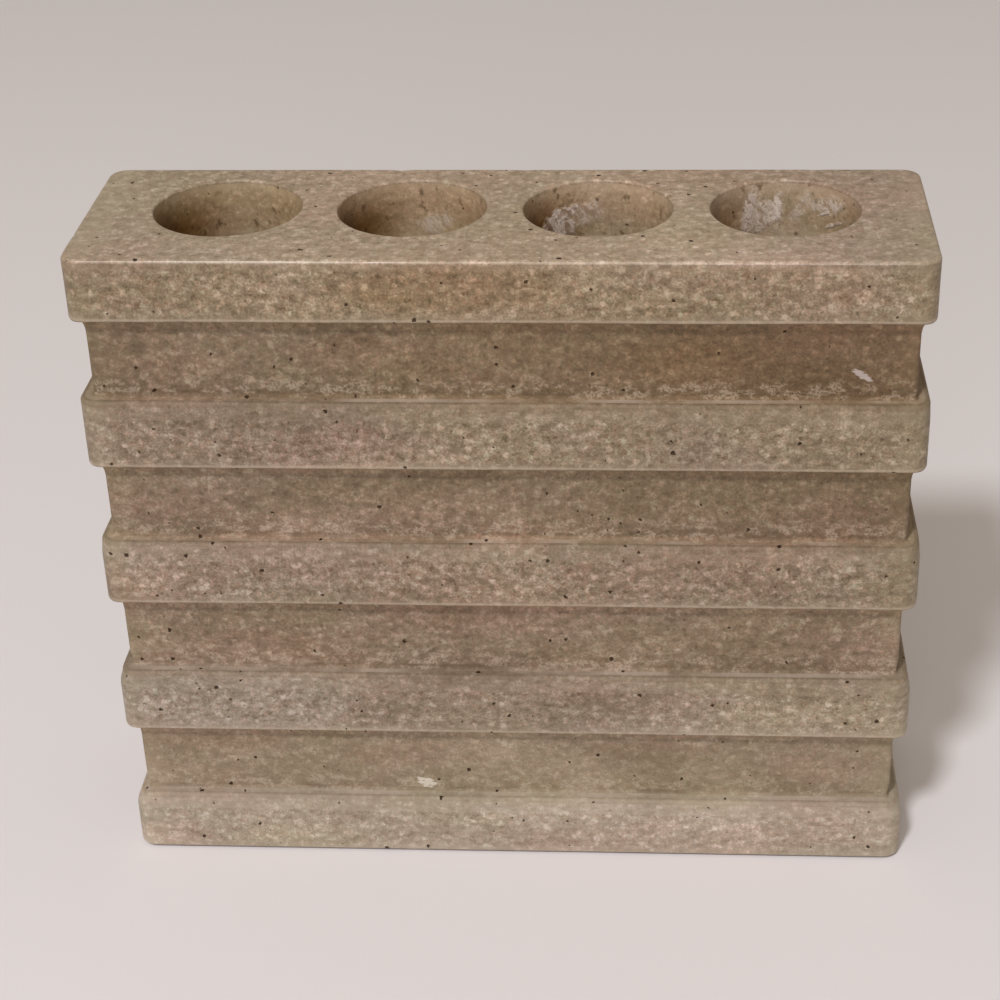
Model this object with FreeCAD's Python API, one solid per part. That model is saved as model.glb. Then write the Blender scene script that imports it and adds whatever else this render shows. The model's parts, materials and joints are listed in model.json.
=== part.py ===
import FreeCAD, Part
import os

# Four-brush toothbrush holder: a ribbed block cast in one piece from stone resin,
# standing on four small rubber feet that sit in shallow seats in its underside.
# Millimetres, +Z up, +X along the long side, -Y is the front. The origin is on the
# table, under the middle of the block.

# Round wells for the brushes, in one row, and the walls left round them in the top
WELL_COUNT = 4
WELL_DIAMETER = 23.0
WELL_WEB = 5.7
END_WALL = 10.45
FRONT_WALL = 9.55
BACK_WALL = 4.95
WELL_FLOOR = 12.0
WELL_RIM_ROUND = 0.4
WELL_FLOOR_ROUND = 4.0

# Proud bands and the channels between them, from the base to the top
BASE_BAND_HEIGHT = 11.2
MIDDLE_BAND_HEIGHT = 11.4
TOP_BAND_HEIGHT = 10.1
CHANNEL_HEIGHT = 13.35
CHANNEL_COUNT = 4
CHANNEL_DEPTH = 2.2
CORNER_RADIUS = 3.0

# Rounds: along the upper and lower edges of the bands, and inside the channels
UPPER_EDGE_ROUND = 0.6
LOWER_EDGE_ROUND = 0.4
CHANNEL_ROUND = 0.5

# Rubber feet and their seats
FOOT_DIAMETER = 10.0
FOOT_THICKNESS = 1.5
FOOT_STANDOFF = 0.4
FOOT_CLEARANCE = 0.15
FOOT_EDGE_DISTANCE = 5.0
FOOT_ROUND = 0.3

# A round takes no more than this share of the step or wall that carries it
ROUND_SHARE = 0.45

UP = FreeCAD.Vector(0, 0, 1)
ON_PLANE = 1e-4


def rounded_block(length, depth, corner, bottom, height):
    """An upright block with rounded vertical corners, centred on the origin in plan."""
    base = FreeCAD.Vector(-length / 2, -depth / 2, bottom)
    block = Part.makeBox(length, depth, height, base)
    upright = [edge for edge in block.Edges if edge.BoundBox.ZLength > height / 2]
    return block.makeFillet(corner, upright)


def level_edges(shape, level, carrier):
    """Edges of shape that lie flat at one level, on the upright faces of another solid."""
    upright_faces = [face for face in carrier.Faces if face.BoundBox.ZLength > ON_PLANE]
    outline = Part.makeCompound(upright_faces)
    found = []
    for edge in shape.Edges:
        box = edge.BoundBox
        if box.ZLength < ON_PLANE and abs(box.ZMin - level) < ON_PLANE:
            middle = edge.valueAt((edge.FirstParameter + edge.LastParameter) / 2)
            if Part.Vertex(middle).distToShape(outline)[0] < ON_PLANE:
                found.append(edge)
    return found


# Plan of the block, worked out from the wells and the walls round them
well_radius = WELL_DIAMETER / 2
well_pitch = WELL_DIAMETER + WELL_WEB
block_length = 2 * END_WALL + WELL_COUNT * WELL_DIAMETER + (WELL_COUNT - 1) * WELL_WEB
block_depth = FRONT_WALL + WELL_DIAMETER + BACK_WALL
well_row_y = FRONT_WALL + well_radius - block_depth / 2

# Levels of the bands: each is (lower face, upper face)
underside = FOOT_STANDOFF
band_heights = [BASE_BAND_HEIGHT] + [MIDDLE_BAND_HEIGHT] * (CHANNEL_COUNT - 1) + [TOP_BAND_HEIGHT]
band_levels = []
level = underside
for band_height in band_heights:
    band_levels.append((level, level + band_height))
    level += band_height + CHANNEL_HEIGHT
top = band_levels[-1][1]

# The block: a core that forms the channels' floor, with the proud bands round it
upper_round = min(UPPER_EDGE_ROUND, ROUND_SHARE * CHANNEL_DEPTH)
lower_round = min(LOWER_EDGE_ROUND, ROUND_SHARE * CHANNEL_DEPTH)
channel_round = min(CHANNEL_ROUND, ROUND_SHARE * CHANNEL_DEPTH)
core_corner = max(CORNER_RADIUS - CHANNEL_DEPTH, channel_round)
core_length = block_length - 2 * CHANNEL_DEPTH
core_depth = block_depth - 2 * CHANNEL_DEPTH
core = rounded_block(core_length, core_depth, core_corner, underside, top - underside)
bands = []
for lower, upper in band_levels:
    bands.append(rounded_block(block_length, block_depth, CORNER_RADIUS, lower, upper - lower))
body = core.fuse(bands).removeSplitter()

# Small rounds where the channels meet the ledges, and along every edge of the bands
inner_corners = []
for (_, upper), (next_lower, _) in zip(band_levels, band_levels[1:]):
    inner_corners += level_edges(body, upper, core)
    inner_corners += level_edges(body, next_lower, core)
body = body.makeFillet(channel_round, inner_corners)
lower_edges = []
for (lower, _), band in zip(band_levels, bands):
    lower_edges += level_edges(body, lower, band)
body = body.makeFillet(lower_round, lower_edges)
upper_edges = []
for (_, upper), band in zip(band_levels, bands):
    upper_edges += level_edges(body, upper, band)
body = body.makeFillet(upper_round, upper_edges)

# The wells: straight bores with an eased rim and a dished floor
well_floor = underside + WELL_FLOOR
rim_round = min(WELL_RIM_ROUND, ROUND_SHARE * WELL_WEB)
floor_round = min(WELL_FLOOR_ROUND, ROUND_SHARE * WELL_DIAMETER)
for index in range(WELL_COUNT):
    well_x = (index - (WELL_COUNT - 1) / 2) * well_pitch
    foot_of_well = FreeCAD.Vector(well_x, well_row_y, well_floor)
    bore = Part.makeCylinder(well_radius, top - well_floor, foot_of_well, UP)
    floor_edge = [edge for edge in bore.Edges if edge.BoundBox.ZMax < well_floor + ON_PLANE]
    bore = bore.makeFillet(floor_round, floor_edge)
    body = body.cut(bore)
    body = body.makeFillet(rim_round, level_edges(body, top, bore))

# The feet sit in round seats, one near each corner of the underside
seat_depth = FOOT_THICKNESS - FOOT_STANDOFF
seat_radius = FOOT_DIAMETER / 2 + FOOT_CLEARANCE
foot_round = min(FOOT_ROUND, ROUND_SHARE * FOOT_THICKNESS)
foot_x = block_length / 2 - FOOT_EDGE_DISTANCE - FOOT_DIAMETER / 2
foot_y = block_depth / 2 - FOOT_EDGE_DISTANCE - FOOT_DIAMETER / 2
feet = {}
for depth_name, y in (("front", -foot_y), ("rear", foot_y)):
    for side_name, x in (("left", -foot_x), ("right", foot_x)):
        place = FreeCAD.Vector(x, y, 0)
        body = body.cut(Part.makeCylinder(seat_radius, underside + seat_depth, place, UP))
        foot = Part.makeCylinder(FOOT_DIAMETER / 2, FOOT_THICKNESS, place, UP)
        rest_edge = [edge for edge in foot.Edges if edge.BoundBox.ZMax < ON_PLANE]
        feet["foot_" + depth_name + "_" + side_name] = foot.makeFillet(foot_round, rest_edge)

os.makedirs("parts", exist_ok=True)
for name, shape in {"cast_body": body, **feet}.items():
    shape.exportStep("parts/" + name + ".step")
    state = "valid" if shape.isValid() else "not valid"
    print(name, state, len(shape.Solids), "solid", round(shape.Volume, 1), "mm3")
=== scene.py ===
import json
import math
import random

import bpy
import numpy as np
from mathutils import Matrix, Vector, geometry, noise


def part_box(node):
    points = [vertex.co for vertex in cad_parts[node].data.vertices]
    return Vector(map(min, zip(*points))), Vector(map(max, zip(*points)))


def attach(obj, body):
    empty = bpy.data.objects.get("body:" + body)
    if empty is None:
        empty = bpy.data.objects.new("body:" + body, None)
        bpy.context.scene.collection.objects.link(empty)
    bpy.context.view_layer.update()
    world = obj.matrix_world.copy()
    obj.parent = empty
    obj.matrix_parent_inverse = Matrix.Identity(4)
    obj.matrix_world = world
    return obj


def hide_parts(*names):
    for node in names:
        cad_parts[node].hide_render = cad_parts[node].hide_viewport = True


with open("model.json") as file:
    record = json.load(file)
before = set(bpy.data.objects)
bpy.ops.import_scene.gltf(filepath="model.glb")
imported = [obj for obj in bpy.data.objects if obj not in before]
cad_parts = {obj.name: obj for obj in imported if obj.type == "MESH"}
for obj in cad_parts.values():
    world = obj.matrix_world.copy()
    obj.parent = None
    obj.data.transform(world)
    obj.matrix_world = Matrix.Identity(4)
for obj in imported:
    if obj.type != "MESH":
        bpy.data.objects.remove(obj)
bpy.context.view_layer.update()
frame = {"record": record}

# The cast block
# One casting of clear resin packed with sand and crushed stone, poured in a mould. The proud
# bands, the top and the underside are ground through the grain and polished; the channels keep
# the mould's brown resin skin. Four wells for the brushes are cored down from the top.
mm = 0.001
block_low, block_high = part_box("cast_body")
underside, top = block_low.z, block_high.z
half_length, half_depth = block_high.x, block_high.y
corner_radius = 3.0 * mm
channel_depth, channel_height, channel_count = 2.2 * mm, 13.35 * mm, 4
base_band, middle_band = 11.2 * mm, 11.4 * mm
upper_round, lower_round, channel_round = 0.6 * mm, 0.4 * mm, 0.5 * mm
pitch = channel_height + middle_band
ledges = [underside + base_band + k * pitch for k in range(channel_count)]

# Spacing of the mesh: along the skin, the steps of a round and of an upright corner, and the
# extra row beside each edge
skin_step, arc_steps, corner_steps, edge_row = 1.05 * mm, 4, 7, 0.2 * mm
quarter_turn = math.pi / 2


def run(start, end, step):
    """Points from start up to, but not at, end, with an extra one close to each end."""
    length = (end - start).length
    count = max(1, round(length / step))
    shares = [k / count for k in range(count)]
    if length > 4 * edge_row:
        shares = [0.0, edge_row / length] + shares[1:] + [1 - edge_row / length]
    return [start.lerp(end, share) for share in shares]


def rounded_path(corners, step):
    """Points along straight runs that meet at right angles, each corner rounded by its radius."""
    points = []
    here = corners[0][0]
    for (before, _), (corner, radius), (after, _) in zip(corners, corners[1:], corners[2:]):
        inward = (corner - before).normalized()
        onward = (after - corner).normalized()
        arc_start = corner - radius * inward
        centre = arc_start + radius * onward
        points += run(here, arc_start, step)
        for k in range(arc_steps):
            turn = quarter_turn * k / arc_steps
            points.append(centre + radius * (math.sin(turn) * inward - math.cos(turn) * onward))
        here = corner + radius * onward
    points += run(here, corners[-1][0], step)
    points.append(corners[-1][0])
    return points


# Upright section of the skin: how far in from the bands' face, and how high
section = [(Vector((lower_round, underside)), 0.0), (Vector((0.0, underside)), lower_round)]
for ledge in ledges:
    section.append((Vector((0.0, ledge)), upper_round))
    section.append((Vector((channel_depth, ledge)), channel_round))
    section.append((Vector((channel_depth, ledge + channel_height)), channel_round))
    section.append((Vector((0.0, ledge + channel_height)), lower_round))
section += [(Vector((0.0, top)), upper_round), (Vector((upper_round, top)), 0.0)]
section_points = np.array(rounded_path(section, skin_step))

# Plan of the skin: points on the line of the corners' centres, and the way out from each
plan_points = []
plan_ways = []
centres = Vector((half_length - corner_radius, half_depth - corner_radius))
for side in range(4):
    outward = Vector((math.cos(side * quarter_turn), math.sin(side * quarter_turn)))
    along = Vector((-outward.y, outward.x))
    half_side = along * centres
    for point in run(outward * centres - half_side, outward * centres + half_side, skin_step):
        plan_points.append(point)
        plan_ways.append(outward)
    for k in range(corner_steps):
        turn = quarter_turn * k / corner_steps
        plan_points.append(outward * centres + half_side)
        plan_ways.append(math.cos(turn) * outward + math.sin(turn) * along)
plan_points = np.array(plan_points)
plan_ways = np.array(plan_ways)

# The skin as rows, from the underside to the top, of points round the block
insets, heights = section_points.T
skin = np.empty((len(insets), len(plan_points), 3))
skin[:, :, :2] = plan_points + plan_ways * (corner_radius - insets)[:, None, None]
skin[:, :, 2] = heights[:, None]

# Grinding by hand leaves the faces slightly hollow and the lines of the bands slightly wavy
broad_dip, broad_span = 0.14 * mm, 38 * mm
small_dip, small_span = 0.05 * mm, 7 * mm
line_drift, line_span, line_offset, flat_zone = 0.14 * mm, 26 * mm, Vector((7, 3, 5)), 6 * mm
for row, height in enumerate(heights):
    free = min(1.0, (height - underside) / flat_zone, (top - height) / flat_zone)
    for column, way in enumerate(plan_ways):
        spot = Vector(skin[row, column])
        dip = broad_dip * (1 + noise.noise(spot / broad_span)) / 2
        dip += small_dip * (1 + noise.noise(spot / small_span)) / 2
        skin[row, column, :2] -= dip * way
        skin[row, column, 2] += free * line_drift * noise.noise(spot / line_span + line_offset)


# A press at one point has a line of no length, so the square of its length is kept over zero
least_square = 1e-12


def press(points, start, end, radius, push):
    """Presses points near a line along push: most on the line, and none from the radius on."""
    line = end - start
    share = np.clip((points - start) @ line / max(line @ line, least_square), 0, 1)
    away = np.linalg.norm(points - start - share[..., None] * line, axis=-1) / radius
    points += np.where(away < 1, (1 - away**2) ** 2, 0.0)[..., None] * push


# Small nicks along the bands' edges, except the one that stands on the table
nick_chance = random.Random(11)
nicks_per_edge, nick_lean = 9, 0.6
nick_depths, nick_radii = (0.06, 0.2), (1.2, 2.6)
nicked_edges = [(ledge, -1.0) for ledge in ledges + [top]]
nicked_edges += [(ledge + channel_height, 1.0) for ledge in ledges]
for level, upward in nicked_edges:
    row = np.abs(heights - level).argmin()
    for _ in range(nicks_per_edge):
        column = nick_chance.randrange(len(plan_points))
        depth = nick_chance.uniform(*nick_depths) * mm
        radius = nick_chance.uniform(*nick_radii) * mm
        nick = skin[row, column].copy()
        press(skin, nick, nick, radius, depth * np.array((*-plan_ways[column], nick_lean * upward)))

# Rubbing has rounded the ledges at both ends, most low down on the left, and the mould left a
# soft hollow corner under each band there
left_wear = [(0.85 * mm, 0.60 * mm), (0.70 * mm, 0.15 * mm), (0.35 * mm, 0.0), (0.0, 0.0)]
right_wear = [(0.60 * mm, 0.30 * mm), (0.50 * mm, 0.20 * mm), (0.20 * mm, 0.0), (0.15 * mm, 0.0)]
wear_radius, wear_inset, wear_stop, hollow_fill = 3.4 * mm, 0.4 * mm, 1.4 * mm, 0.5 * mm
to_front = (1, -1, 1)
for side, wears in ((-1, left_wear), (1, right_wear)):
    for ledge, (inward, downward) in zip(ledges, wears):
        worn = np.array((side * (half_length - wear_inset), half_depth - wear_stop, ledge))
        press(skin, worn * to_front, worn, wear_radius, np.array((-side * inward, 0, -downward)))
        hollow_x, hollow_y = side * (half_length - channel_depth), half_depth - channel_depth
        hollow = np.array((hollow_x, hollow_y, ledge + channel_height))
        press(skin, hollow * to_front, hollow, channel_depth, hollow_fill * np.array((side, 0, -1.0)))

# The block's mesh as it grows, with the place of each face on one flat sheet
vertices = []
faces = []
face_corners = []
inset_shares = []
bore_shares = []
sheet_width = 340 * mm


def add_vertices(points, inset, bore):
    """Adds points with their inset from the bands and whether they lie in a bore, both 0 to 1."""
    first = sum(len(block) for block in vertices)
    vertices.append(points.reshape(-1, 3))
    inset_shares.append(np.broadcast_to(inset, points.shape[:-1]).reshape(-1))
    bore_shares.append(np.broadcast_to(bore, points.shape[:-1]).reshape(-1))
    return first


def add_rings(rings, inset, bore, sheet_place):
    """Adds closed rings of equal count, with four-sided faces between them, and lays them on the sheet."""
    first = add_vertices(rings, inset, bore)
    count = rings.shape[1]
    widest = rings[np.linalg.norm(rings[:, 0, :2] - rings[:, count // 2, :2], axis=1).argmax()]
    around = np.linalg.norm(widest - np.roll(widest, 1, axis=0), axis=1)
    across = sheet_place[0] + np.concatenate([[0.0], np.cumsum(np.roll(around, -1))]) / sheet_width
    rise = np.linalg.norm(np.diff(rings, axis=0), axis=2).mean(axis=1)
    along = sheet_place[1] + np.concatenate([[0.0], np.cumsum(rise)]) / sheet_width
    for ring in range(rings.shape[0] - 1):
        low = first + ring * count
        for k in range(count):
            after = (k + 1) % count
            faces.append((low + k, low + after, low + count + after, low + count + k))
            face_corners.extend([(across[k], along[ring]), (across[k + 1], along[ring]),
                                 (across[k + 1], along[ring + 1]), (across[k], along[ring + 1])])
    return [list(range(first + ring * count, first + (ring + 1) * count)) for ring in range(rings.shape[0])]


def add_face(numbers, sheet_place):
    """Adds one flat face, laid on the sheet from above."""
    placed = np.concatenate(vertices)[list(numbers)]
    faces.append(tuple(numbers))
    face_corners.extend([tuple(spot[:2] / sheet_width + sheet_place) for spot in placed])


def add_flat(outline, holes, level, step, sheet_place, facing=1):
    """Fills a flat outline round its holes with triangles, facing up, or down where facing is -1."""
    placed = np.concatenate(vertices)
    numbers = []
    borders = []
    for loop in [outline] + holes:
        first = len(numbers)
        numbers += loop
        borders += [(first + k, first + (k + 1) % len(loop)) for k in range(len(loop))]
    loop_points = placed[numbers][:, :2]
    middles = [placed[hole][:, :2].mean(axis=0) for hole in holes]
    radii = [np.linalg.norm(placed[hole[0]][:2] - middle) for hole, middle in zip(holes, middles)]
    low, high = loop_points.min(axis=0) + step, loop_points.max(axis=0) - step
    row_gap, loop_gap, hole_gap = math.sqrt(0.75) * step, 0.6 * step, 0.5 * step
    inner = []
    for row, y in enumerate(np.arange(low[1], high[1], row_gap)):
        for x in np.arange(low[0] + (row % 2) * step / 2, high[0], step):
            spot = np.array((x, y))
            if np.linalg.norm(loop_points - spot, axis=1).min() > loop_gap:
                if all(np.linalg.norm(spot - m) > r + hole_gap for m, r in zip(middles, radii)):
                    inner.append(spot)
    inner = np.array(inner)
    first = add_vertices(np.c_[inner, np.full(len(inner), level)], 0.0, 0.0)
    numbers += range(first, first + len(inner))
    spots = [Vector(spot) for spot in np.concatenate([loop_points, inner])]
    only_inside, same_spot = 1, 1e-9
    found = geometry.delaunay_2d_cdt(spots, borders, [], only_inside, same_spot)
    triangles, sources = found[2:4]
    hole_sets = [set(hole) for hole in holes]
    for triangle in triangles:
        corners = [sources[number][0] for number in triangle[::facing]]
        face = tuple(numbers[number] for number in corners)
        if not any(hole.issuperset(face) for hole in hole_sets):
            faces.append(face)
            face_corners.extend([tuple(np.array(spots[n]) / sheet_width + sheet_place) for n in corners])


def circle(centre, radius, level, count):
    """Points round an upright axis, all at one level."""
    turns = np.arange(count) * 2 * math.pi / count
    across, along = centre[0] + radius * np.cos(turns), centre[1] + radius * np.sin(turns)
    return np.c_[across, along, np.full(count, level)]


skin_rings = add_rings(skin, (insets / channel_depth)[:, None], 0.0, (0.0, 0.0))

# Wells: a narrow flat margin, an eased rim, a straight bore and a dished floor
rim_margin, rim_round, floor_round, well_floor = 0.5 * mm, 0.4 * mm, 4.0 * mm, 12.0 * mm
floor_middle, well_step, well_sides, top_step = 0.5 * mm, 3.0 * mm, 84, 1.3 * skin_step
well_sheet_gap, well_sheet_row, floor_sheet, top_sheet = 0.24, 0.56, (0.86, 0.99), (0.25, 0.47)
wells = [mount for mount in frame["record"]["mounts"] if mount["kind"] == "bore"]
well_radius = wells[0]["dims"]["r_mm"] * mm
rim_loops = []
for number, well in enumerate(wells):
    well_section = [
        (Vector((well_radius + rim_round + rim_margin, top)), 0.0),
        (Vector((well_radius, top)), rim_round),
        (Vector((well_radius, underside + well_floor)), floor_round),
        (Vector((floor_middle, underside + well_floor)), 0.0),
    ]
    path = rounded_path(well_section, well_step)
    rings = np.array([circle(well["pos_m"], radius, height, well_sides) for radius, height in path])
    inside = np.array([height < top - rim_round for _, height in path]).astype(float)
    bore_rings = add_rings(rings, 0.0, inside[:, None], (well_sheet_gap * number, well_sheet_row))
    rim_loops.append(bore_rings[0])
    add_face(bore_rings[-1], floor_sheet)
add_flat(skin_rings[-1], rim_loops, top, top_step, top_sheet)

# Seats for the feet in the underside
seat_clearance, seat_depth, seat_sides, underside_step = 0.15 * mm, 1.1 * mm, 40, 2.5 * skin_step
seat_sheet_gap, seat_sheet_row, underside_sheet = 0.12, 0.94, (0.75, 0.47)
seat_floor_gap, seat_floor_sheet = 0.02, (0.6, 0.96)
foot_nodes = [row["node"] for row in frame["record"]["subparts"] if row["node"] != "cast_body"]
seat_loops = []
for number, node in enumerate(foot_nodes):
    foot_low, foot_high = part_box(node)
    seat_middle = (foot_low + foot_high) / 2
    seat_radius = (foot_high.x - foot_low.x) / 2 + seat_clearance
    seat = [
        circle(seat_middle, seat_radius / 2, underside + seat_depth, seat_sides),
        circle(seat_middle, seat_radius, underside + seat_depth, seat_sides),
        circle(seat_middle, seat_radius, underside, seat_sides),
    ]
    seat_rings = add_rings(np.array(seat), 0.0, 0.0, (seat_sheet_gap * number, seat_sheet_row))
    seat_loops.append(seat_rings[-1])
    seat_floor = (seat_floor_sheet[0] + seat_floor_gap * number, seat_floor_sheet[1])
    add_face(seat_rings[0][::-1], seat_floor)
add_flat(skin_rings[0], seat_loops, underside, underside_step, underside_sheet, facing=-1)

block_mesh = bpy.data.meshes.new("cast_block")
block_mesh.from_pydata(np.concatenate(vertices).tolist(), [], faces)
sheet = block_mesh.uv_layers.new(name="OFBake")
sheet.data.foreach_set("uv", np.array(face_corners).ravel())
for name, values in (("inset", inset_shares), ("bore", bore_shares)):
    mask = block_mesh.attributes.new(name, "FLOAT", "POINT")
    mask.data.foreach_set("value", np.concatenate(values))
block_mesh.polygons.foreach_set("use_smooth", [True] * len(block_mesh.polygons))
block_mesh.update()
block = bpy.data.objects.new("cast_block", block_mesh)
bpy.context.collection.objects.link(block)
even_shading = block.modifiers.new("even_shading", "WEIGHTED_NORMAL")
even_shading.keep_sharp = True


class Socket:
    """One output of a material's node. Sums on it add Math nodes to the same material."""

    def __init__(self, output):
        self.output = output

    def add(self, kind, settings, inputs, result=0):
        """Adds a node: its settings first, then the value or the link of each socket."""
        tree = self.output.id_data
        node = tree.nodes.new(kind)
        for name, value in settings.items():
            if name == "stops":
                elements = node.color_ramp.elements
                while len(elements) < len(value):
                    elements.new(1.0)
                for element, (position, colour) in zip(elements, value):
                    element.position = position
                    element.color = (*colour, 1)
            else:
                setattr(node, name, value)
        for name, value in inputs.items():
            if isinstance(value, Socket):
                tree.links.new(value.output, node.inputs[name])
            else:
                node.inputs[name].default_value = value
        return Socket(node.outputs[result])

    def math(self, operation, *values):
        return self.add("ShaderNodeMath", {"operation": operation}, dict(enumerate(values)))

    def __add__(self, other):
        return self.math("ADD", self, other)

    def __sub__(self, other):
        return self.math("SUBTRACT", self, other)

    def __rsub__(self, other):
        return self.math("SUBTRACT", other, self)

    def __mul__(self, other):
        return self.math("MULTIPLY", self, other)

    def __mod__(self, other):
        return self.math("FLOORED_MODULO", self, other)

    def __abs__(self):
        return self.math("ABSOLUTE", self)

    __radd__ = __add__
    __rmul__ = __mul__

    def rise(self, start, end):
        """0 before start and 1 after end, with a soft step between; falls where end is first."""
        settings = {"interpolation_type": "SMOOTHSTEP"}
        return self.add("ShaderNodeMapRange", settings, {"Value": self, "From Min": start, "From Max": end})

    def toward(self, colour, share):
        """This colour, mixed towards another by a share from 0 to 1."""
        return self.add("ShaderNodeMix", {"data_type": "RGBA"}, {0: share, 6: self, 7: (*colour, 1)}, 2)

    def tinted(self, colour, share):
        """This colour multiplied by another, by a share from 0 to 1."""
        settings = {"data_type": "RGBA", "blend_type": "MULTIPLY"}
        return self.add("ShaderNodeMix", settings, {0: share, 6: self, 7: (*colour, 1)}, 2)

    def vector(self, operation, *values, result=0):
        return self.add("ShaderNodeVectorMath", {"operation": operation}, dict(enumerate(values)), result)

    def cloud(self, size, detail=1.0, stretch=(1, 1, 1), result="Fac"):
        """Soft random patches over this place, of one size, drawn out along the axes by stretch."""
        spread = self.vector("DIVIDE", self, [size * share for share in stretch])
        return self.add("ShaderNodeTexNoise", {}, {"Vector": spread, "Scale": 1.0, "Detail": detail}, result)

    def flecks(self, spacing):
        """The distance to the nearest of sparse random points, and three random numbers of that point."""
        near = self.add("ShaderNodeTexVoronoi", {}, {"Vector": self, "Scale": 1 / spacing})
        return near * spacing, near.sibling("Color").parts()

    def from_middle(self, middle, reach, slope=0):
        """Distance of this place from a patch's middle, 1 at its half sizes; slope lifts its right end."""
        turn = (0, -math.radians(slope), 0)
        inputs = {"Vector": self, "Location": middle, "Rotation": turn, "Scale": reach}
        local = self.add("ShaderNodeMapping", {"vector_type": "TEXTURE"}, inputs)
        return local.vector("LENGTH", local, result="Value")

    def sibling(self, name):
        """Another output of the same node."""
        return Socket(self.output.node.outputs[name])

    def parts(self):
        """The three numbers of a colour or a place."""
        first = self.add("ShaderNodeSeparateXYZ", {}, {0: self})
        return [first, first.sibling("Y"), first.sibling("Z")]


# Stone resin: mixed grains of sand and stone, dark specks, soft clouds and a brown skin
stone = bpy.data.materials.new("stone_resin")
stone.use_nodes = True
shader = stone.node_tree.nodes["Principled BSDF"]
stone_start = Socket(shader.outputs[0])
in_metres = stone_start.add("ShaderNodeTexCoord", {}, {}, "Object")
place = in_metres.vector("DIVIDE", in_metres, [mm] * 3)
inset = stone_start.add("ShaderNodeAttribute", {"attribute_name": "inset"}, {}, "Fac")
bore = stone_start.add("ShaderNodeAttribute", {"attribute_name": "bore"}, {}, "Fac")
x, y, z = place.parts()

# Height over the ledge below, from 3 mm under it to the same place one pitch higher
under = 3.0
over_ledge = (z - (ledges[0] / mm - under)) % (pitch / mm) - under
channel_top, top_level = channel_height / mm, top / mm

# Zones of the surface, each 0 to 1: the channels and their walls, the top, both ends, the lower
# part of the block, the lower edge of each band, and each ledge with its outer edge
recess = inset.rise(0.72, 0.94)
wall = inset.rise(0.8, 0.97)
top_face = z.rise(top_level - 0.6, top_level - 0.35) * (1 - bore)
ends = abs(x).rise(57.0, 63.5)
low_down = z.rise(45.0, 8.0)
band_foot = over_ledge.rise(channel_top + 2.2, channel_top + 0.7) * (1 - recess)
near_ledge = over_ledge.rise(-1.0, -0.5) * over_ledge.rise(0.8, 0.4)
edge_zone = near_ledge * inset.rise(0.42, 0.28)
ledge_flat = near_ledge * inset.rise(0.28, 0.42)

# Sand and stone grains: soft pebbles of mixed tone, each a little pink or green, with dark pits
grain_spacing, tone_size, fine_size, raggedness = 0.95, 1.25, 0.36, [0.8] * 3
drift = place.cloud(0.55, 1.5, result="Color")
ragged = place.vector("MULTIPLY_ADD", drift, raggedness, place)
grain_away, (grain_tone, grain_kind, grain_pit) = ragged.flecks(grain_spacing)
pebble = grain_away.rise(0.75, 0.25)
tone = place.cloud(tone_size, 2.0, (1.4, 1.4, 0.85))
fine = place.cloud(fine_size, 1.0)
grain = (grain_tone - 0.5) * pebble * 0.24 + (tone - 0.5) * 0.58 + (fine - 0.5) * 0.44 + 0.5
grain_tones = [
    (0.28, (0.112, 0.077, 0.045)),
    (0.42, (0.188, 0.136, 0.088)),
    (0.50, (0.228, 0.169, 0.114)),
    (0.58, (0.278, 0.212, 0.150)),
    (0.72, (0.405, 0.328, 0.250)),
]
pink_grain, green_grain, pale_grain = (1.06, 0.98, 0.96), (0.93, 1.00, 0.95), (0.46, 0.375, 0.305)
dark_pit, gap_resin, mean_stone = (0.075, 0.050, 0.026), (0.110, 0.076, 0.045), (0.230, 0.171, 0.116)
colour = grain.add("ShaderNodeValToRGB", {"stops": grain_tones}, {"Fac": grain})
colour = colour.tinted(pink_grain, grain_kind.rise(0.55, 0.95) * pebble)
colour = colour.tinted(green_grain, grain_kind.rise(0.45, 0.05) * pebble)
colour = colour.toward(pale_grain, grain_tone.rise(0.93, 0.97) * grain_away.rise(0.40, 0.15) * 0.5)
colour = colour.toward(dark_pit, grain_pit.rise(0.88, 0.96) * grain_away.rise(0.38, 0.15) * 0.55)
colour = colour.toward(gap_resin, grain_away.rise(0.58, 0.78) * 0.40)

# The grain is more even low down, at the ends, in the channels and wells and along the bands' edges
even = low_down * 0.28 + recess * 0.24 + ends * 0.25 + bore * 0.5 + band_foot * 0.3 + near_ledge * 0.15
most_even = 0.7
colour = colour.toward(mean_stone, even.math("MINIMUM", even, most_even))

# Broad clouds drawn out along the pour: pinkish or olive, and paler or darker
pink_cloud, olive_cloud = (1.04, 0.98, 0.99), (0.98, 0.99, 0.94)
pale_cloud, dark_cloud = (1.18, 1.19, 1.21), (0.86, 0.84, 0.80)
pink, pale, patchy = place.cloud(13.0, 2.5, (2.2, 2.2, 0.75), "Color").parts()
colour = colour.tinted(pink_cloud, pink.rise(0.47, 0.65))
colour = colour.tinted(olive_cloud, pink.rise(0.52, 0.36))
colour = colour.tinted(pale_cloud, pale.rise(0.47, 0.68))
colour = colour.tinted(dark_cloud, patchy.rise(0.50, 0.34) * (0.4 + recess * 0.6))

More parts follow.
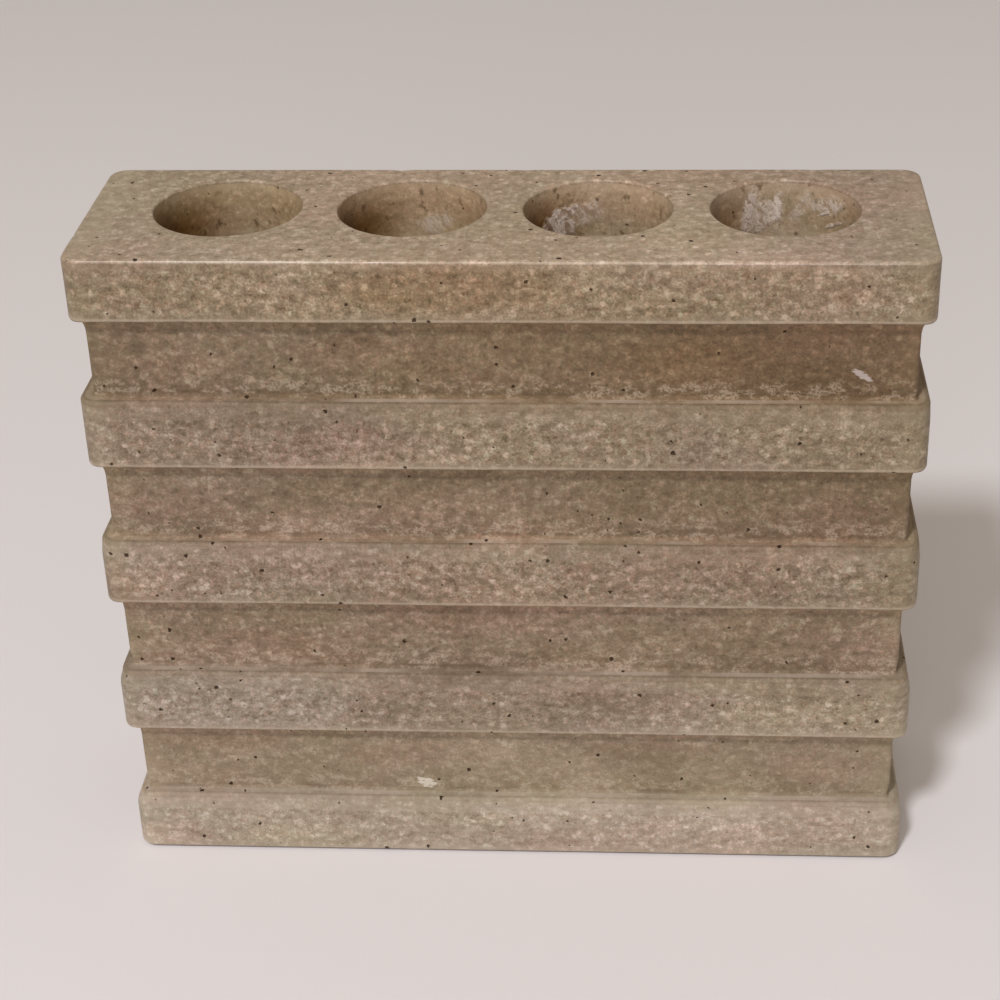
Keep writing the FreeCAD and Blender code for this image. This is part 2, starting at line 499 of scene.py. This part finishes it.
# Wide patches, darker or paler: middle, half sizes and tint
broad_patches = [
    ((-42.0, 0.0, 80.0), (30.0, 90.0, 8.0), (0.89, 0.86, 0.88)),
    ((-2.0, 0.0, 30.5), (30.0, 90.0, 8.0), (0.82, 0.79, 0.78)),
    ((-44.0, 0.0, 61.0), (28.0, 90.0, 14.0), (1.10, 1.12, 1.18)),
    ((-46.0, 0.0, 30.5), (24.0, 90.0, 8.0), (1.00, 1.07, 1.13)),
    ((48.0, 0.0, 92.0), (34.0, 90.0, 8.0), (0.98, 0.90, 0.84)),
    ((-46.0, 0.0, 92.0), (28.0, 90.0, 7.0), (1.06, 1.06, 1.09)),
    ((0.0, 0.0, 105.0), (90.0, 90.0, 7.0), (1.04, 1.01, 0.96)),
    # Painted sheen on the top: paler and bluer along its front, darker at its right end
    ((2.0, -15.0, 109.3), (55.0, 8.0, 2.0), (1.09, 1.07, 1.12)),
    ((58.0, 0.0, 109.3), (28.0, 40.0, 2.0), (0.94, 0.92, 0.93)),
    ((-7.0, -18.0, 105.0), (21.0, 8.0, 4.5), (0.95, 0.89, 0.78)),
    ((8.0, 0.0, 92.5), (40.0, 90.0, 8.5), (1.01, 0.95, 0.90)),
    ((46.0, 0.0, 67.8), (40.0, 90.0, 8.5), (0.96, 0.95, 0.93)),
    ((2.0, 0.0, 80.2), (24.0, 90.0, 7.0), (1.06, 1.05, 1.06)),
]
for patch_middle, patch_reach, patch_tint in broad_patches:
    colour = colour.tinted(patch_tint, place.from_middle(patch_middle, patch_reach).rise(1.15, 0.55))

# Paler and bluer towards the foot; paler and bluer on the top, partly its polish and partly
# painted sheen; paler at the ends and along the lower edge of each band
paler_towards_foot, polish_and_sheen = (1.52, 1.65, 1.84), (1.44, 1.49, 1.59)
pale_end, pale_band_foot = (1.05, 1.08, 1.06), (1.06, 1.07, 1.08)
colour = colour.tinted(paler_towards_foot, z.rise(50.0, 4.0))
colour = colour.tinted(polish_and_sheen, top_face)
colour = colour.tinted(pale_end, ends)
colour = colour.tinted(pale_band_foot, band_foot)

# The channels' brown skin, paler half way down, with painted shade towards the upper right and
# painted light under each band, lifting the shade it casts. The ledges get painted shade along their
# outer edge and painted light behind it, most on the upper ones.
skin_brown, painted_shade_right, middle_skin = (0.79, 0.75, 0.68), (0.84, 0.80, 0.76), (1.21, 1.21, 1.31)
painted_shade_edge, painted_light_under_band, painted_light_ledge = (0.87, 0.84, 0.81), (1.25, 1.22, 1.18), (1.20, 1.15, 1.10)
colour = colour.tinted(skin_brown, recess)
colour = colour.tinted(painted_shade_right, recess * x.rise(0.0, 60.0) * z.rise(40.0, 90.0))
colour = colour.tinted(middle_skin, recess * z.rise(84.0, 54.0) * z.rise(22.0, 34.0))
colour = colour.tinted(painted_shade_edge, edge_zone)
colour = colour.tinted(painted_light_under_band, wall * over_ledge.rise(channel_top - 2.6, channel_top - 1.5))
colour = colour.tinted(painted_light_ledge, ledge_flat * z.rise(33.0, 60.0))

# A crust of pale grains over each ledge, broken pale lines along the ledges, partly residue and
# partly painted highlight, broken painted shade in their inner corners, and a painted highlight
# along each band's lower edge
pale_crust, ledge_pale_and_glint = (0.42, 0.335, 0.255), (0.52, 0.42, 0.34)
corner_shade, painted_lower_highlight = (0.120, 0.080, 0.048), (0.46, 0.37, 0.28)
crust = wall * over_ledge.rise(4.5, 1.0) * tone.rise(0.46, 0.60) * fine.rise(0.36, 0.56)
broken = place.cloud(5.0, 2.0, (3.0, 3.0, 0.6))
ledge_line = ledge_flat * inset.rise(0.9, 0.7) * broken.rise(0.44, 0.60) * (1 - ends * 0.7)
inner_shade = wall * over_ledge.rise(1.1, 0.5) * broken.rise(0.47, 0.38)
lower_edge_highlight = over_ledge.rise(channel_top + 0.1, channel_top + 0.25)
lower_edge_highlight = lower_edge_highlight * over_ledge.rise(channel_top + 0.8, channel_top + 0.45) * inset.rise(0.1, 0.02)
colour = colour.toward(pale_crust, crust * 0.45)
colour = colour.toward(ledge_pale_and_glint, ledge_line * 0.55)
colour = colour.toward(corner_shade, inner_shade * 0.5)
colour = colour.toward(painted_lower_highlight, lower_edge_highlight * 0.4)

# Dark specks of random size and strength with ragged outlines, and brown stains in the wells
speck_brown, stain_brown = (0.024, 0.008, 0.0), (0.060, 0.036, 0.015)
speck_spacing, least_speck, speck_growth, speck_raggedness = 2.4, 0.04, 0.34, [0.6] * 3
speck_place = place.vector("MULTIPLY_ADD", place.cloud(0.5, result="Color"), speck_raggedness, place)
speck_away, (speck_size, speck_ink, _) = speck_place.flecks(speck_spacing)
speck = (speck_size * speck_size * speck_growth + least_speck - speck_away).rise(-0.05, 0.04)
speck = speck * (0.88 + speck_ink * 0.12) * (1 - bore * 0.2)
stain = place.cloud(1.5, 2.5, (0.9, 0.9, 1.3)).rise(0.60, 0.74)
colour = colour.toward(speck_brown, speck)
colour = colour.toward(stain_brown, stain * bore * 0.7)

# Two white chips of stone in the front wall of the channels: middle, half sizes, slope and colour
chips = [
    ((54.2, -16.5, 90.0), (1.7, 3.0, 0.55), -34, (0.40, 0.33, 0.30)),
    ((-14.8, -16.5, 13.2), (1.6, 3.0, 0.9), -15, (0.62, 0.55, 0.46)),
]
crushed = place.cloud(0.6, 2.0, (1.4, 1.4, 0.8))
for chip_middle, chip_reach, chip_slope, chip_colour in chips:
    chip_away = place.from_middle(chip_middle, chip_reach, chip_slope)
    chip = (chip_away * chip_away + (crushed - 0.5) * 4.0).rise(1.3, 0.5)
    colour = colour.toward(chip_colour, chip * 0.9)

# Wells: a smooth golden resin skin, made paler as painted light lifting the shade in the bores, with
# painted shade, deep and golden, low on each left wall and painted light on each right wall
well_skin_and_light, right_wells, near_rim = (1.50, 1.46, 1.36), (1.04, 1.09, 1.16), (1.12, 1.15, 1.20)
painted_shade_left_wall, painted_light_right_wall = (0.46, 0.32, 0.14), (1.12, 1.10, 1.06)
well_pitch = (wells[1]["pos_m"][0] - wells[0]["pos_m"][0]) / mm
well_side = x % well_pitch - well_pitch / 2
deep = z.rise(top_level - 0.5, top_level - 6.5)
colour = colour.tinted(well_skin_and_light, bore)
colour = colour.tinted(right_wells, bore * x.rise(-5.0, 25.0))
colour = colour.tinted(near_rim, bore * z.rise(top_level - 4.0, top_level - 0.5))
colour = colour.tinted(painted_shade_left_wall, bore * deep * well_side.rise(0.0, -10.0) * x.rise(60.0, 15.0))
colour = colour.tinted(painted_light_right_wall, bore * well_side.rise(1.0, 9.0))

# Dried milky film on the far walls: middle of each patch, its half sizes, slope and strength
film_patches = [
    ((7.6, 11.5, 103.6), (3.4, 3.0, 1.3), 26, 0.95),
    ((8.2, 11.8, 101.7), (2.4, 3.0, 1.5), 10, 0.85),
    ((12.4, 13.4, 103.8), (2.6, 2.0, 1.9), 28, 0.45),
    ((37.9, 12.5, 104.6), (3.3, 3.0, 1.1), 77, 0.9),
    ((42.4, 13.8, 104.4), (3.2, 2.0, 0.9), 87, 0.95),
    ((39.6, 13.2, 103.4), (3.2, 2.0, 2.8), 35, 0.7),
    ((46.2, 13.2, 105.2), (3.0, 2.0, 1.0), 60, 0.4),
    ((49.8, 11.6, 104.5), (1.6, 2.0, 0.3), 34, 0.9),
    ((51.1, 10.6, 103.0), (1.8, 2.0, 0.3), 34, 0.9),
    ((50.4, 11.1, 106.0), (3.2, 3.0, 1.5), 15, 0.65),
    ((-12.3, 13.5, 101.9), (3.4, 2.0, 1.5), 20, 0.4),
]
torn = place.cloud(1.1, 2.0)
film_masks = []
for film_middle, film_reach, film_slope, film_strength in film_patches:
    film_away = place.from_middle(film_middle, film_reach, film_slope) + (torn - 0.5) * 1.4
    film_masks.append(film_away.rise(1.3, 0.5) * film_strength)
film = film_masks[0]
for film_mask in film_masks[1:]:
    film = film.math("MAXIMUM", film, film_mask)
film = film * bore

# The film is wrinkled on a slant: milky, whiter on the creases and darker in the folds
milky, crease_white, fold_shade = (0.58, 0.475, 0.405), (0.86, 0.74, 0.65), (0.76, 0.69, 0.62)
wrinkle_slope = (0, math.radians(35), 0)
slanted = place.add("ShaderNodeMapping", {}, {"Vector": place, "Rotation": wrinkle_slope})
wrinkled = slanted.vector("MULTIPLY_ADD", drift, raggedness, slanted)
wrinkle = wrinkled.cloud(0.8, 2.0, (1.0, 1.0, 4.0))
crease = abs(wrinkle - 0.52).rise(0.06, 0.0)
colour = colour.toward(milky, film * (0.50 + wrinkle.rise(0.36, 0.60) * 0.5))
colour = colour.toward(crease_white, film * crease * 0.65)
colour = colour.tinted(fold_shade, film * wrinkle.rise(0.44, 0.36))

# A satin polish, dullest on the ledges' edges, with a gloss along the top's front edge, and
# small pits that are deepest in the channels
ledge_edge = over_ledge.rise(-1.2, -0.4) * over_ledge.rise(1.5, 0.6)
roughness = 0.46 + recess * 0.12 + top_face * -0.08 + bore * 0.06 + ledge_edge * 0.2
roughness = roughness + (fine - 0.5) * 0.25 + film * -0.2 + speck * 0.4
top_edge = z.rise(top_level - 0.9, top_level - 0.5) * (1 - bore)
coat = top_edge * y.rise(-17.3, -18.2) * pale.rise(0.3, 0.6) * 0.6
pits = place.cloud(0.7, 2.0)
relief = pits * (0.6 + recess * 1.4) + film * wrinkle * 5.0
relief_height = 0.05 * mm
bump = relief.add("ShaderNodeBump", {}, {"Height": relief, "Strength": 1.0, "Distance": relief_height})
shader.inputs["Specular IOR Level"].default_value = 0.3
shader.inputs["Coat Roughness"].default_value = 0.22
outputs = {"Base Color": colour, "Roughness": roughness, "Coat Weight": coat, "Normal": bump}
for name, socket in outputs.items():
    stone.node_tree.links.new(socket.output, shader.inputs[name])
block_mesh.materials.append(stone)
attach(block, "root")
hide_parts("cast_body")

# The feet
# Four soft rubber discs with a rounded rim and two shallow moulded rings underneath, pressed
# into seats in the block's underside, so that it stands a fraction of a millimetre off the table.
foot_round, foot_round_steps, foot_middle, foot_sides = 0.3 * mm, 4, 0.3 * mm, 64
ring_radii, ring_depth, ring_slope = (1.6 * mm, 3.2 * mm), 0.12 * mm, 0.15 * mm
foot_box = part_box(foot_nodes[0])
foot_radius = (foot_box[1].x - foot_box[0].x) / 2
foot_height = foot_box[1].z - foot_box[0].z
foot_profile = [(foot_middle, 0.0)]
for ring in ring_radii:
    foot_profile += [(ring, 0.0), (ring + ring_slope, ring_depth)]
    foot_profile += [(ring + 3 * ring_slope, ring_depth), (ring + 4 * ring_slope, 0.0)]
for step in range(foot_round_steps + 1):
    turn = quarter_turn * step / foot_round_steps
    rim_radius = foot_radius - foot_round + foot_round * math.sin(turn)
    foot_profile.append((rim_radius, foot_round - foot_round * math.cos(turn)))
foot_profile += [(foot_radius, foot_height), (foot_middle, foot_height)]
foot_rings = np.array([circle((0, 0), radius, height, foot_sides) for radius, height in foot_profile])
foot_faces = [tuple(reversed(range(foot_sides)))]
for ring in range(len(foot_profile) - 1):
    low = ring * foot_sides
    for k in range(foot_sides):
        after = (k + 1) % foot_sides
        foot_faces.append((low + k, low + after, low + foot_sides + after, low + foot_sides + k))
foot_faces.append(tuple(range((len(foot_profile) - 1) * foot_sides, len(foot_profile) * foot_sides)))
foot_mesh = bpy.data.meshes.new("rubber_foot")
foot_mesh.from_pydata(foot_rings.reshape(-1, 3).tolist(), [], foot_faces)
foot_mesh.polygons.foreach_set("use_smooth", [True] * len(foot_mesh.polygons))

rubber = bpy.data.materials.new("foot_rubber")
rubber.use_nodes = True
rubber_shader = rubber.node_tree.nodes["Principled BSDF"]
rubber_start = Socket(rubber_shader.outputs[0])
foot_metres = rubber_start.add("ShaderNodeTexCoord", {}, {}, "Object")
foot_place = foot_metres.vector("DIVIDE", foot_metres, [mm] * 3)
soil = foot_place.cloud(2.4, 3.0)
dust = foot_place.cloud(0.25, 1.0)
rubber_tones = [(0.30, (0.43, 0.42, 0.39)), (0.50, (0.58, 0.57, 0.54)), (0.70, (0.66, 0.65, 0.62))]
dust_brown, rubber_relief = (0.82, 0.80, 0.76), 0.03 * mm
rubber_grey = soil.add("ShaderNodeValToRGB", {"stops": rubber_tones}, {"Fac": soil})
rubber_grey = rubber_grey.tinted(dust_brown, dust.rise(0.55, 0.7) * 0.6)
rubber_roughness = 0.62 + soil * 0.2 + (dust - 0.5) * 0.2
dust_bump = {"Height": dust, "Strength": 1.0, "Distance": rubber_relief}
rubber_bump = dust.add("ShaderNodeBump", {}, dust_bump)
for name, socket in (("Base Color", rubber_grey), ("Roughness", rubber_roughness), ("Normal", rubber_bump)):
    rubber.node_tree.links.new(socket.output, rubber_shader.inputs[name])
foot_mesh.materials.append(rubber)
for node in foot_nodes:
    foot_low, foot_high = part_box(node)
    foot = bpy.data.objects.new("rubber_" + node, foot_mesh.copy())
    foot.location = ((foot_low.x + foot_high.x) / 2, (foot_low.y + foot_high.y) / 2, foot_low.z)
    bpy.context.collection.objects.link(foot)
    foot_shading = foot.modifiers.new("even_shading", "WEIGHTED_NORMAL")
    foot_shading.keep_sharp = True
    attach(foot, "root")
    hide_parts(node)

# The floor and the light
# A wide pale matt floor, a soft lamp high up at the front left, a wider and weaker one low in
# front, and an even pale surround.
floor_mesh = bpy.data.meshes.new("floor")
floor_reach, floor_gap, floor_tint = 3.0, 0.02 * mm, (0.815, 0.77, 0.775, 1)
floor_corners = [(-1, -1), (1, -1), (1, 1), (-1, 1)]
floor_points = [(floor_reach * a, floor_reach * b, 0) for a, b in floor_corners]
floor_mesh.from_pydata(floor_points, [], [(0, 1, 2, 3)])
floor = bpy.data.objects.new("floor", floor_mesh)
floor.location.z = -floor_gap
bpy.context.collection.objects.link(floor)
paper = bpy.data.materials.new("floor_paper")
paper.use_nodes = True
paper_shader = paper.node_tree.nodes["Principled BSDF"]
paper_shader.inputs["Base Color"].default_value = floor_tint
paper_shader.inputs["Roughness"].default_value = 0.7
floor_mesh.materials.append(paper)

# The lamps: name, the way to it from the holder, its width in metres and its power in watts
lamp_distance, lamp_aim, lamp_tint = 1.5, Vector((0, 0, 0.05)), (1.0, 1.02, 1.06)
lamps = [
    ("main_lamp", (-0.213, -0.593, 0.776), 0.20, 12.9),
    ("front_lamp", (0.0, -0.94, 0.34), 0.70, 4.9),
]
for lamp_name, lamp_side, lamp_size, lamp_energy in lamps:
    lamp_data = bpy.data.lights.new(lamp_name, "AREA")
    lamp_data.shape = "DISK"
    lamp_data.size = lamp_size
    lamp_data.energy = lamp_energy
    lamp_data.color = lamp_tint
    lamp = bpy.data.objects.new(lamp_name, lamp_data)
    lamp_way = Vector(lamp_side).normalized()
    lamp.location = lamp_aim + lamp_way * lamp_distance
    lamp.rotation_euler = (-lamp_way).to_track_quat("-Z", "Y").to_euler()
    bpy.context.collection.objects.link(lamp)

world = bpy.data.worlds.new("surround")
world.use_nodes = True
surround = world.node_tree.nodes["Background"]
surround.inputs["Color"].default_value = (1.0, 0.895, 0.755, 1)
surround.inputs["Strength"].default_value = 0.37
bpy.context.scene.world = world
bpy.context.scene.view_settings.view_transform = "Standard"

# The view
# A long lens nearly 0.4 m away, a little to the right of the holder, looking down on its front
# and top. The picture is turned slightly clockwise, and its middle lies a little left of the lens's.
lens = bpy.data.cameras.new("view")
lens.sensor_width = 36.0
lens.lens = 77.56
lens.shift_x = -0.05
lens.clip_start = 0.01
view = bpy.data.objects.new("view", lens)
view_place = Vector((25.35, -307.56, 233.86)) * mm
view_turn, view_tilt, view_roll = (math.radians(angle) for angle in (3.595, 29.605, -1.333))
aim = Matrix.Rotation(view_turn, 4, "Z") @ Matrix.Rotation(quarter_turn - view_tilt, 4, "X")
view.matrix_world = Matrix.Translation(view_place) @ aim @ Matrix.Rotation(view_roll, 4, "Z")
bpy.context.collection.objects.link(view)
bpy.context.scene.camera = view
